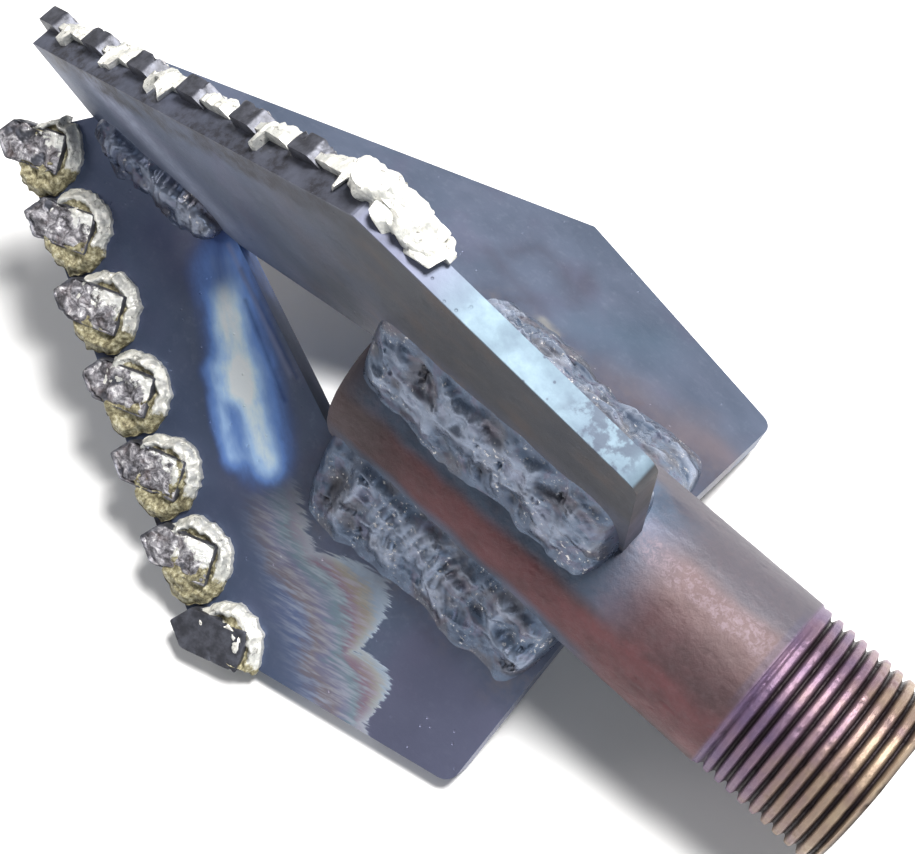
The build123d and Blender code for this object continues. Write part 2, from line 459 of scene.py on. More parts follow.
def shank_finish(settings):
    """Red-brown rust, blue-grey heat tint beside the welds, a scuffed streak, dark threads with painted
    shade in their roots.
    """
    f = Finish("rusty_pipe")
    turn = f.times(f.maths("ARCTAN2", f.y, f.x), 180 / pi)
    wide = f.ragged(20.0, 30.0)
    cloud = f.noise(13.0, 6.0, 0.6)
    base = f.ramp(cloud, ((0.3, "382c2f"), (0.45, "4a383b"), (0.58, "583f43"), (0.75, "5a494c")))
    base = f.blend(0.3, base, (*settings.rust, 1.0))
    # red between the welds, browner towards the mouth and below
    red = f.times(f.near(f.plus(turn, wide), 24.0, 14.0, 16.0), f.step(f.z, 128.0, 100.0))
    base = f.blend(f.times(red, f.step(cloud, 0.25, 0.7, 0.3, 0.75)), base, "7a4449")
    mouth = f.step(f.plus(f.z, f.ragged(9.0, 14.0)), 118.0, 130.0)
    base = f.blend(f.times(mouth, 0.7), base, "5a4e50")
    base = f.blend(f.times(f.step(turn, 6.0, -20.0), 0.5), base, "4d3c3b")
    # the upper side is tan beside the upright blade, then grey
    tan = f.times(f.step(f.plus(turn, wide), 60.0, 84.0), f.step(f.z, 66.0, 58.0))
    base = f.blend(f.times(tan, 0.75), base, "6d5a5b")
    grey = f.step(f.plus(turn, wide), 96.0, 112.0)
    base = f.blend(f.times(grey, 0.85), base, "595862")
    # heat from the blade welds leaves a blue-grey band along each of them
    third = f.maths("WRAP", turn, 150.0)
    third.node.inputs[2].default_value = 30.0
    off_blade = f.plus(f.maths("ABSOLUTE", f.plus(third, -90.0)), f.ragged(16.0, 16.0, 2.0))
    beside = f.times(f.step(off_blade, 50.0, 38.0), f.near(f.z, 96.0, 26.0, 18.0))
    tint = f.ramp(f.noise(9.0, 3.0), ((0.3, "3c4659"), (0.5, "4d5f75"), (0.7, "646a80")))
    base = f.blend(f.times(beside, 0.9), base, tint)
    # the scuffed streak behind the upright blade
    streak = f.near(f.plus(turn, f.ragged(5.0, 16.0)), 93.0, 4.0, 7.0)
    streak = f.times(streak, f.near(f.z, 48.0, 12.0, 10.0))
    flecks = f.step(f.noise(1.2, 5.0, 0.75, 0.6), 0.44, 0.62)
    base = f.blend(f.times(streak, f.plus(f.times(flecks, 0.5), 0.05)), base, "8f7f8a")
    base = f.blend(f.times(f.step(f.noise(1.7, 6.0, 0.7), 0.42, 0.75), 0.2), base, "77676c")
    base = f.blend(0.14, base, "1c1718")
    # threads: dark roots of painted shade, and worn lilac and tan crests lightened partly as a painted
    # highlight, with a blue land where they start
    radius = f.maths("SQRT", f.plus(f.times(f.x, f.x), f.times(f.y, f.y)))
    in_thread = f.step(f.z, 30.8, 29.6)
    start = f.times(f.near(f.z, 30.2, 1.2, 1.0), f.near(turn, 96.0, 22.0, 22.0))
    base = f.blend(f.times(start, 0.3), base, "4a4a62")
    worn = f.ramp(
        f.plus(f.times(f.z, 0.017), f.times(f.noise(8.0, 3.0), 0.6)),
        ((0.25, "a8957e"), (0.42, "8d786c"), (0.6, "7f6776"), (0.82, "665470")),
    )
    depth = f.step(radius, 19.4, 20.55)
    # painted shade: near-black in the roots, going over to the crests' colour
    base = f.blend(in_thread, base, f.blend(depth, "1f171b", worn))
    base = f.blend(f.step(radius, 17.6, 16.6), base, "2b2123")
    rub = f.step(cloud, 0.3, 0.75, 0.62, 0.52)
    rub = f.plus(rub, f.plus(f.times(in_thread, -0.14), f.times(grey, -0.08)))
    relief = f.bump(f.noise(0.9, 6.0, 0.75), 0.16)
    relief = f.bump(f.noise(6.0, 5.0, 0.6), 0.45, relief)
    return f.done(base, rub, f.plus(0.2, f.times(in_thread, 0.35)), relief, 0.4)


class DRAGBIT_OT_shank(bpy.types.Operator):
    """Makes the pipe with its helical thread, its open bore and its chamfered mouth.

    A closed section is carried round the axis: down the outer wall from the mouth and back
    up the bore. In the thread, the groove's depth follows the distance of height over pitch
    less the share of a turn from the nearest half number, which is a right-hand helix.
    """

    bl_idname = "dragbit.shank"
    bl_label = "Shank"

    def execute(self, context):
        settings = context.scene.dragbit_shank
        solid = bit_points("shank_pipe")
        radius = np.hypot(solid[:, 0], solid[:, 1])
        pipe_r = radius.max()
        bore_r = radius.min()
        length = solid[:, 2].max()
        land_r = frame["record"]["mounts"][0]["dims"]["r_mm"]
        thread_length = -SHANK_START
        pitch = settings.pitch / MM
        turns = 288
        # the outer wall from the mouth to the thread's end, back through the bore
        plain_z = np.linspace(length, thread_length + 1.0, 90)
        thread_z = np.linspace(thread_length + 0.9, 0.0, 150)
        outer_z = np.concatenate([plain_z, thread_z])[:, None]
        theta = np.linspace(0.0, tau, turns, endpoint=False)[None, :]
        phase = np.mod(outer_z / pitch - theta / tau, 1.0)
        groove = 1.0 - smooth(np.abs(phase - 0.5), 0.03, 0.34)
        fade = smooth(thread_length - outer_z, 0.0, settings.run_out / MM)
        outer_r = land_r - settings.thread_depth / MM * groove * fade
        outer_r = np.where(outer_z > thread_length, pipe_r, outer_r)
        outer_r = np.minimum(outer_r, pipe_r - settings.mouth_chamfer / MM + length - outer_z)
        outer_r = np.minimum(outer_r, land_r - settings.end_chamfer / MM + outer_z)
        bore_z = np.concatenate([np.zeros(4), np.linspace(0.0, length, 24), np.full(3, length)])
        share = np.concatenate([np.linspace(0.75, 0.0, 4), np.zeros(24), np.linspace(0.2, 0.8, 3)])
        lip = pipe_r - settings.mouth_chamfer / MM - bore_r
        inner_r = np.broadcast_to(bore_r + share[:, None] * lip, (len(share), turns))
        z = np.concatenate([outer_z, bore_z[:, None]])
        r = np.concatenate([outer_r, inner_r])
        points = stacked(r * np.cos(theta), r * np.sin(theta), z)
        # handling marks and rust loss, cut inwards only
        loss = np.maximum(rough(points, 5.0, 3), 0.0) * 0.12
        loss += np.maximum(rough(points, 1.6, 9) - 0.5, 0.0) * 0.35
        loss *= smooth(r, bore_r + 1.0, bore_r + 3.0)
        points[..., :2] *= (1.0 - loss / r)[..., None]
        mesh = make_mesh("shank", points, wrap_rows=True)
        put("shank", mesh, shank_finish(settings), "shank_pipe", 50.0)
        return {"FINISHED"}


# ------------------------------------------------------------------ blades
class BladeSettings(bpy.types.PropertyGroup):
    """Sizes and colours of the blade plates."""

    edge_wear: length_setting(
        "Worn edge", "Width of the worn bevel along every edge of a plate", 0.0005
    )
    steel: colour_setting(
        "Plate steel", "Colour of the plain plate away from heat and grinding", colour("66708a")
    )


def plate_base(f, settings):
    """Hot-rolled plate: cloudy blue-grey scale with fine grain."""
    cloud = f.noise(22.0, 5.0, 0.55, 0.4)
    base = f.ramp(cloud, ((0.25, "4b566b"), (0.45, "5b667c"), (0.6, "6a738a"), (0.8, "7f859b")))
    base = f.blend(0.3, base, (*settings.steel, 1.0))
    violet = f.step(f.noise(17.0, 3.0, 0.5, 0.3), 0.48, 0.68)
    base = f.blend(f.times(violet, 0.3), base, "6b6480")
    scale = f.step(f.noise(2.2, 6.0, 0.7), 0.5, 0.75)
    return f.blend(f.times(scale, 0.2), base, "98a0b4")


def plate_relief(f):
    """Fine grain, a few pits and long faint rolling marks."""
    relief = f.bump(f.noise(0.7, 5.0, 0.7), 0.05)
    pits = f.step(f.cells(2.6), 0.16, 0.05)
    patchy = f.step(f.noise(14.0), 0.52, 0.62)
    relief = f.bump(f.times(f.times(pits, patchy), -1.0), 0.25, relief)
    streaks = f.noise(3.0, 3.0, 0.5, 0.0, f.stretched((1.0, 1.0, 0.12)))
    return f.bump(streaks, 0.12, relief)


def heat_by_welds(f, base):
    """Violet, brown and blue tints where the plate was hot beside the pipe weld."""
    off_pipe = f.plus(f.x, f.ragged(11.0, 14.0, 4.0, 0.6))
    hot = f.times(f.step(off_pipe, 46.0, 34.0), f.step(f.z, 142.0, 130.0))
    tint = f.ramp(f.noise(6.0, 4.0, 0.6), ((0.3, "4a4550"), (0.5, "4f5568"), (0.7, "6a6468")))
    return f.blend(f.times(hot, 0.7), base, tint)


def soot(f, base, depth_in, reach, code):
    """Burnt flux along the cutting edge in spotty patches, out to an uneven reach."""
    ragged = f.plus(f.ragged(7.0, 8.0), f.ragged(1.8, 4.0, 5.0, 0.7))
    dark = f.step(f.plus(depth_in, ragged), reach + 2.0, reach - 2.0)
    dark = f.times(dark, f.step(f.noise(11.0, 3.0), 0.36, 0.58, 0.25, 0.9))
    crumbs = f.step(f.noise(2.0, 4.0, 0.7), 0.36, 0.62, 1.0, 0.5)
    return f.blend(f.times(dark, crumbs), base, code)


def cutting_edge_distance(f, outline):
    """Distance in from the cutting edge, in millimetres."""
    (tip_r, tip_z), (gauge_r, gauge_z) = outline["tip"], outline["gauge"]
    length = hypot(gauge_r - tip_r, gauge_z - tip_z)
    normal = ((tip_z - gauge_z) / length, (gauge_r - tip_r) / length)
    out = f.times(f.plus(f.x, -tip_r), -normal[0])
    return f.plus(out, f.times(f.plus(f.z, -tip_z), -normal[1]))


def blade_outline(name):
    """The corners of a blade's outline as (out, along), read from its CAD node.

    The back corner is rounded, so the place where its round begins stands for it. The front
    is where the blades meet on the axis.
    """
    local = bit_points(f"blade_{name}") @ blade_axes(BLADES[name]).T
    out, along = local[:, 0], local[:, 2]
    tip = np.argmax(along)
    gauge = np.argmax(out)
    behind = along < along[gauge] - 5.0
    back = np.argmax(np.where(behind, out, 0.0))
    return {
        "front": (0.0, along[tip] - NOTCH_DEPTH),
        "tip": (out[tip], along[tip]),
        "gauge": (out[gauge], along[gauge]),
        "back": (out[back], along[back]),
    }


def flame(f, base):
    """An ice-blue flame with two fingers in a blue halo, crossed by thin dark veins: a ground patch
    whose pale core is a painted highlight.

    Soft strokes add up to one glow, and the glow's strength picks the colour.
    """
    wavy = f.plus(f.ragged(9.0, 3.0, 3.0), f.ragged(2.0, 0.5))
    glow = 0.0
    for start, end, reach, soft, strength in (
        ((8.0, 181.0), (35.0, 147.0), 7.5, 8.0, 0.42),
        ((13.5, 176.0), (27.0, 160.5), 3.4, 3.0, 0.46),
        ((25.5, 162.0), (36.5, 143.5), 3.0, 2.8, 0.36),
        ((29.0, 168.0), (41.5, 152.5), 2.2, 3.0, 0.34),
        ((20.0, 162.0), (27.0, 152.0), 2.5, 4.0, 0.12),
    ):
        glow = f.plus(glow, f.times(f.stroke(start, end, reach, soft, wavy), strength))
    streaks = f.noise(2.6, 5.0, 0.6, 0.0, f.stretched((1.0, 1.0, 0.4), 0.65))
    glow = f.times(glow, f.step(streaks, 0.25, 0.75, 0.86, 1.12))
    # painted highlight: the stronger the glow, the nearer the colour goes to white
    tint = f.ramp(
        glow, ((0.1, "4a63a4"), (0.35, "7fa6ea"), (0.6, "b4d6ff"), (0.8, "e2f4ff"), (0.95, "f6fcff"))
    )
    base = f.blend(f.step(glow, 0.05, 0.32), base, tint)
    deep = f.stroke((3.0, 187.0), (11.0, 179.5), 3.5, 5.0, wavy)
    base = f.blend(f.times(deep, 0.75), base, "34437a")
    for start, end in (((10.8, 171.2), (22.5, 149.3)), ((6.0, 176.5), (16.5, 150.0))):
        vein = f.stroke(start, end, 0.3, 0.8, f.ragged(7.0, 1.6))
        base = f.blend(f.times(vein, 0.6), base, "2f4477")
    strip = f.stroke((3.5, 182.5), (17.0, 152.0), 0.5, 0.7, f.ragged(3.0, 0.8))
    base = f.blend(f.times(strip, 0.5), base, "9299b8")
    return base, f.step(glow, 0.2, 0.9)


def rainbow(f, base):
    """A brushed patch whose tints lie side by side, in from a scalloped edge of fine strokes.

    One direction runs along the patch and the other across it towards the scallops, each of
    which is a parabola.
    """
    length = f.along((48.0, 108.0), (0.55, -0.835))
    across = f.along((48.0, 108.0), (-0.835, -0.55))
    edge = -4.0
    for middle, height, curve in ((-1.0, 10.5, 0.09), (17.0, 5.0, 0.12)):
        off = f.plus(length, -middle)
        edge = f.most(f.plus(f.times(f.times(off, off), -curve), height), edge)
    strokes = f.noise(1.0, 3.0, 0.6, 0.0, f.stretched((1.0, 1.0, 0.13), -0.26))
    inside = f.plus(f.plus(edge, f.times(across, -1.0)), f.times(f.plus(strokes, -0.5), 9.0))
    ends = f.times(f.step(length, -34.0, -22.0), f.step(length, 33.0, 28.0))
    patch = f.times(f.step(inside, 0.0, 1.6), f.times(ends, f.step(across, -23.0, -13.0)))
    hue = f.plus(f.times(f.plus(f.times(edge, 0.5), f.times(across, -1.0)), 0.045), 0.1)
    hue = f.plus(f.plus(hue, f.ragged(6.0, 0.4)), f.times(f.plus(strokes, -0.5), 0.5))
    tint = f.ramp(
        hue,
        (
            (0.05, "93a3ba"),
            (0.16, "a39a88"),
            (0.3, "91798a"),
            (0.45, "7a909c"),
            (0.6, "7f7f9a"),
            (0.78, "83797f"),
            (0.95, "66749a"),
        ),
    )
    bright = f.step(strokes, 0.4, 0.68)
    tint = f.blend(f.times(bright, 0.4), tint, "d3dae4")
    tint = f.blend(f.times(f.step(inside, 6.0, 0.5), 0.6), tint, "c3d2e0")
    return f.blend(f.times(patch, 0.85), base, tint), f.times(strokes, patch)


def right_blade_finish(settings):
    """Leading face with a polished flame along the window, its pale core a painted highlight, and a
    brushed rainbow patch.
    """
    f = Finish("heat_tinted_plate_right", blade_axes(BLADES["right"]))
    depth_in = cutting_edge_distance(f, blade_outline("right"))
    base = plate_base(f, settings)
    slate = f.step(f.plus(depth_in, f.ragged(14.0, 12.0)), 40.0, 16.0)
    base = f.blend(f.times(slate, 0.6), base, "4b5876")
    dusk = f.stroke((12.0, 200.0), (16.0, 190.0), 4.0, 7.0, f.ragged(9.0, 8.0))
    base = f.blend(f.times(dusk, 0.5), base, "3d4166")
    # the flame's pale core is a painted highlight; where it is strong the plate is made smoother and
    # less metallic
    base, polish_and_highlight = flame(f, base)
    base, brushed = rainbow(f, base)
    corner = f.times(f.step(f.z, 100.0, 88.0), f.step(f.x, 34.0, 44.0))
    base = f.blend(f.times(corner, f.step(brushed, 0.3, 0.1, 0.0, 0.7)), base, "62627a")
    base = heat_by_welds(f, base)
    base = soot(f, base, depth_in, 6.0, "403d42")
    shine = f.step(f.noise(18.0, 4.0), 0.3, 0.7, 0.42, 0.52)
    shine = f.plus(shine, f.times(polish_and_highlight, -0.12))
    metallic = f.step(polish_and_highlight, 0.0, 0.8, 0.6, 0.05)
    return f.done(base, shine, metallic, f.bump(brushed, 0.14, plate_relief(f)))


def top_blade_finish(settings):
    """Dark olive-brown trailing face, paler at the nose, with an ice-blue ground rim whose brightness
    is partly a painted highlight.
    """
    f = Finish("heat_tinted_plate_top", blade_axes(BLADES["top"]))
    outline = blade_outline("top")
    base = plate_base(f, settings)
    brown = f.step(f.plus(f.z, f.ragged(20.0, 50.0)), 190.0, 120.0)
    face = f.ramp(f.noise(13.0, 5.0, 0.6), ((0.3, "38393c"), (0.5, "454444"), (0.66, "544a43")))
    base = f.blend(f.times(brown, 0.9), f.blend(0.25, base, "4a505e"), face)
    pale = f.stroke((30.0, 226.0), (10.0, 184.0), 5.0, 6.0, f.ragged(8.0, 7.0, 5.0, 0.6))
    base = f.blend(f.times(pale, f.step(f.noise(2.6, 5.0, 0.7), 0.3, 0.7, 0.5, 0.95)), base, "9aa2b8")
    # the narrow outer face is ground, and painted bright partly as a highlight, with dark stains
    # towards the shank
    gauge_r, gauge_z = outline["gauge"]
    back_r, back_z = outline["back"]
    slope = (gauge_r - back_r) / (gauge_z - back_z)
    rim_r = f.plus(f.times(f.plus(f.z, -back_z), slope), back_r)
    on_rim = f.step(f.plus(rim_r, f.times(f.x, -1.0)), 0.9, 0.35)
    # painted highlight in part: the rim's pale ice blue
    rim = f.ramp(f.noise(7.0, 5.0, 0.6), ((0.3, "6b7c8c"), (0.5, "7c909e"), (0.7, "90a6b4")))
    rim = f.blend(f.step(f.z, 104.0, 122.0), rim, "6e7288")
    stains = f.times(f.near(f.z, 77.0, 5.0, 5.0), f.step(f.noise(3.6, 5.0, 0.65), 0.42, 0.56))
    dots = f.times(f.near(f.z, 91.0, 3.0, 3.0), f.step(f.cells(2.2), 0.2, 0.1))
    rim = f.blend(f.step(f.z, 110.0, 66.0, 0.0, 0.4), rim, "46586a")
    rim = f.blend(f.times(f.most(stains, dots), 0.75), rim, "3f4658")
    base = f.blend(on_rim, base, rim)
    depth_in = cutting_edge_distance(f, outline)
    base = f.blend(f.times(f.step(depth_in, 0.9, 0.35), 0.7), base, "6c7080")
    base = soot(f, base, depth_in, 7.0, "37363b")
    base = heat_by_welds(f, base)
    shine = f.plus(f.step(f.noise(18.0, 4.0), 0.3, 0.7, 0.42, 0.56), f.times(on_rim, 0.2))
    return f.done(base, shine, f.plus(0.6, f.times(on_rim, -0.3)), plate_relief(f))


def left_blade_finish(settings):
    """Slate plate with soft brown burns, a pale rub and a tan corner by the shank."""
    f = Finish("heat_tinted_plate_left", blade_axes(BLADES["left"]))
    base = plate_base(f, settings)
    base = f.blend(0.3, base, "4f5a68")
    tan = f.stroke((34.0, 96.0), (40.0, 70.0), 8.0, 9.0, f.ragged(12.0, 14.0))
    base = f.blend(f.times(tan, 0.75), base, "77696c")
    teal = f.stroke((48.0, 112.0), (60.0, 100.0), 6.0, 8.0, f.ragged(12.0, 10.0))
    base = f.blend(f.times(teal, 0.5), base, "50657a")
    burnt = 0.0
    for start, end, reach in (
        ((52.0, 140.5), (59.5, 137.5), 1.5),
        ((59.5, 137.5), (59.5, 129.0), 1.8),
        ((59.5, 129.0), (53.0, 121.0), 2.2),
        ((53.0, 121.0), (63.0, 124.0), 2.4),
        ((46.5, 144.0), (42.0, 124.0), 1.4),
    ):
        burnt = f.most(f.stroke(start, end, reach, 4.0, f.ragged(6.0, 7.0)), burnt)
    base = f.blend(f.times(burnt, 0.42), base, "453f4c")
    rub = f.stroke((39.5, 121.0), (38.5, 117.0), 1.4, 1.6, f.ragged(2.0, 2.0))
    base = f.blend(f.times(rub, 0.8), base, "a09f98")
    base = heat_by_welds(f, base)
    shine = f.step(f.noise(18.0, 4.0), 0.3, 0.7, 0.42, 0.55)
    return f.done(base, shine, 0.6, plate_relief(f))


class DRAGBIT_OT_blades(bpy.types.Operator):
    """Gives the three plates worn edges and their heat tints."""

    bl_idname = "dragbit.blades"
    bl_label = "Blades"

    def execute(self, context):
        settings = context.scene.dragbit_blades
        finishes = {
            "top": top_blade_finish,
            "left": left_blade_finish,
            "right": right_blade_finish,
        }
        for name in BLADES:
            node = f"blade_{name}"
            mesh = frame["nodes"][node].data.copy()
            mesh.name = f"plate_{name}"
            clean_up(mesh, flat=radians(1.0))
            piece = put(f"plate_{name}", mesh, finishes[name](settings), node, 30.0)
            worn = piece.modifiers.new("worn edges", "BEVEL")
            worn.width = settings.edge_wear
            worn.segments = 3
            worn.limit_method = "ANGLE"
            worn.angle_limit = radians(30.0)
            worn.harden_normals = True
        return {"FINISHED"}


# ------------------------------------------------------------------ cutters
class CutterSettings(bpy.types.PropertyGroup):
    """Shape and wear of the pointed cutters."""

    lean: FloatProperty(
        name="Lean",
        description="How far a cutter's point leans out from the bit's axis",
        default=radians(20.0),
        subtype="ANGLE",
    )
    gable: length_setting("Gable height", "How far the point stands out from the shoulders", 0.0045)
    crust: length_setting("Crust", "Height of the rough crust on a cutter's face", 0.0007)
    carbide: colour_setting("Carbide", "Colour of the bare cutter", colour("5a5c66"))


def cutter_finish(settings):
    """Bare grey flanks, and a face under dark scale with pale lights and white splashes."""
    f = Finish("crusted_carbide")
    crust = f.attribute("crust")
    splash = f.attribute("splash")
    patch = f.step(f.noise(2.5, 5.0, 0.6), 0.35, 0.7)
    bare = f.blend(patch, "3c3d44", (*settings.carbide, 1.0))
    grit = f.noise(2.6, 6.0, 0.7, 0.6)
    scaled = f.ramp(
        grit,
        ((0.33, "2b292b"), (0.43, "5d5b60"), (0.51, "8c8a90"), (0.58, "b4b2b7"), (0.66, "f3f1f2")),
    )
    scaled = f.blend(f.times(f.step(f.noise(3.5), 0.52, 0.68), 0.22), scaled, "7c645f")
    base = f.blend(crust, bare, scaled)
    white = f.step(f.plus(splash, f.ragged(2.4, 1.6, 5.0, 0.7)), 0.5, 0.7)
    base = f.blend(white, base, "f4f4f0")
    relief = f.bump(f.times(grit, crust), 0.8)
    relief = f.bump(f.noise(0.5, 4.0, 0.7), 0.06, relief)
    return f.done(base, f.plus(0.46, f.times(white, -0.16)), 0.5, relief)


def house_outline(width, length, gable, count):
    """Evenly spaced points round a bar with a gabled end, as (across, along the point).

    The five corners are walked at an even pace and then rounded by averaging neighbours.
    """
    half = width / 2
    corners = np.array(
        [(0.0, 0.0), (half, -gable), (half, -length), (-half, -length), (-half, -gable), (0.0, 0.0)]
    )
    steps = np.hypot(*np.diff(corners, axis=0).T)
    walked = np.concatenate([[0.0], np.cumsum(steps)])
    pace = np.linspace(0.0, walked[-1], count, endpoint=False)
    line = np.stack([np.interp(pace, walked, corners[:, k]) for k in (0, 1)], -1)
    return (np.roll(line, 1, 0) + 2.0 * line + np.roll(line, -1, 0)) / 4.0


def cutter_surface(axes, low, high, gable, crust, seed):
    """One cutter as its outline carried through a profile of share and height.

    The profile starts at the middle of the seat, runs out to the flank, up it, over a worn
    bevel and in over the face to its middle. The crust raises the face by rough heights and
    chips bite into the rim.
    """
    width = high[0] - low[0]
    length = high[2] - low[2]
    floor, face = low[1], high[1]
    outline = house_outline(width, length, gable, 132)
    middle = np.array([0.0, -0.55 * length])
    bevel = 0.45
    share = np.concatenate(
        [np.linspace(0.0, 1.0, 5), np.ones(9), [0.985, 0.955], np.linspace(0.92, 0.0, 22)]
    )
    height = np.concatenate(
        [
            np.full(5, floor),
            np.linspace(floor + 0.4, face - bevel, 9),
            [face - 0.3 * bevel, face - 0.05],
            np.full(22, face),
        ]
    )
    on_face = np.concatenate([np.zeros(15), [0.35], np.ones(22)])
    rim = np.concatenate([np.zeros(8), np.linspace(0.2, 1.0, 6), np.ones(5), np.zeros(19)])
    flat = middle + (outline - middle)[None] * share[:, None, None]
    across = (low[0] + high[0]) / 2 + flat[..., 0]
    along = high[2] + flat[..., 1]
    local = stacked(across, height[:, None], along)
    lumps = rough(local, 2.6, seed, 4, 0.55)
    inner = smooth(1.0 - share, 0.04, 0.3)[:, None]
    local[..., 1] += on_face[:, None] * (lumps * crust - crust * (1.1 - inner))
    chips = np.maximum(rough(local, 2.2, seed + 40) - 0.25, 0.0) * rim[:, None] * 1.1
    pull = stacked(across - across.mean(), 0.0, along - along.mean())
    pull /= np.linalg.norm(pull, axis=-1, keepdims=True) + 1e-9
    local -= pull * chips[..., None]
    local[..., 1] -= chips * 0.8
    crusted = on_face[:, None] * smooth(rough(local, 5.0, seed + 7) + 0.85, 0.0, 0.4)
    back = (high[2] - along) / length
    inward = ((low[0] + high[0]) / 2 - across) / width
    splash = on_face[:, None] * (1.1 * back + 0.9 * inward - 0.45)
    return local @ axes, crusted, splash


class DRAGBIT_OT_cutters(bpy.types.Operator):
    """Makes the pointed cutters with crusted faces and chipped rims."""

    bl_idname = "dragbit.cutters"
    bl_label = "Cutters"

    def execute(self, context):
        settings = context.scene.dragbit_cutters
        finish = cutter_finish(settings)
        seed = 100
        for name, angle in BLADES.items():
            axes = cutter_axes(angle, settings.lean)
            for number in CUTTERS:
                seed += 11
                node = f"cutter_{name}_{number}"
                local = bit_points(node) @ axes.T
                low, high = local.min(0), local.max(0)
                clean = number == 7
                crust = settings.crust / MM * (0.1 if clean else 1.0)
                points, crusted, splash = cutter_surface(
                    axes, low, high, settings.gable / MM, crust, seed
                )
                spilt = np.full(splash.shape, 1.0 * (name == "top"))
                values = {
                    "crust": crusted * (not clean),
                    "splash": spilt if clean else splash,
                }
                mesh = make_mesh(f"tip_{name}_{number}", points, values=values)
                put(f"tip_{name}_{number}", mesh, finish, node, 32.0)
        return {"FINISHED"}


# ------------------------------------------------------------------ braze
class BrazeSettings(bpy.types.PropertyGroup):
    """Shape and colours of the braze round the cutters."""

    radius: length_setting("Radius", "Reach of a collar from its middle", 0.00975)
    lip: length_setting("Lip", "How far the braze hangs out past the edge of a plate", 0.0024)
    lump: length_setting("Lumps", "Height of the lumps in the braze", 0.0009)
    moat: length_setting("Moat", "Depth of the hollow behind a cutter's heel", 0.0011)
    silver: colour_setting("Braze", "Colour of the bright braze", colour("f4f2ea"))
    flux: colour_setting("Flux", "Colour of the burnt flux on the braze", colour("8a7d55"))


def braze_finish(settings):
    """Bright silver braze with olive and brown flux where the torch left it, and dark patches of
    painted shade for its creases.
    """
    f = Finish("flux_stained_braze")
    flux = f.attribute("flux")
    patch = f.step(f.plus(flux, f.ragged(1.6, 1.1, 5.0, 0.65)), 0.45, 0.7)
    cloud = f.step(f.noise(2.2, 5.0, 0.6), 0.3, 0.72)
    silver = f.blend(cloud, "c2c3bf", (*settings.silver, 1.0))
    # painted shade: dark olive-grey patches that stand for shade in the braze's creases
    creases = f.step(f.noise(1.3, 5.0, 0.7, 0.8), 0.42, 0.36)
    silver = f.blend(f.times(creases, 0.7), silver, "4c4a44")
    burnt = f.ramp(
        f.noise(1.2, 5.0, 0.7), ((0.34, "24201b"), (0.43, "65604c"), (0.54, "9a9578"), (0.68, "dcd8c0"))
    )
    burnt = f.blend(0.2, burnt, (*settings.flux, 1.0))
    base = f.blend(patch, silver, burnt)
    relief = f.bump(f.cells(1.5, "SMOOTH_F1"), 0.3)
    relief = f.bump(f.noise(0.7, 5.0, 0.7), 0.25, relief)
    return f.done(base, f.plus(0.3, f.times(patch, 0.25)), f.plus(0.4, f.times(patch, -0.25)), relief)


def edge_limit(outline, lip, middle, spoke):
    """How far each spoke may reach before it passes the blade's outline by a lip.

    The outline's inside is kept on one side of three lines: nose, cutting edge and gauge edge.
    """
    corners = [outline["front"], outline["tip"], outline["gauge"], outline["back"]]
    limit = np.full(len(spoke), np.inf)
    for start, end in zip(corners[:-1], corners[1:]):
        run = np.array(end) - np.array(start)
        outwards = np.array([-run[1], run[0]]) / np.hypot(*run)
        room = (np.array(start) - middle[[0, 2]]) @ outwards
        if room < 0.0:
            outwards, room = -outwards, -room
        facing = spoke[:, [0, 2]] @ outwards
        past = np.where(facing > 1e-3, (room + lip) / np.maximum(facing, 1e-3), np.inf)
        limit = np.minimum(limit, past)
    return limit


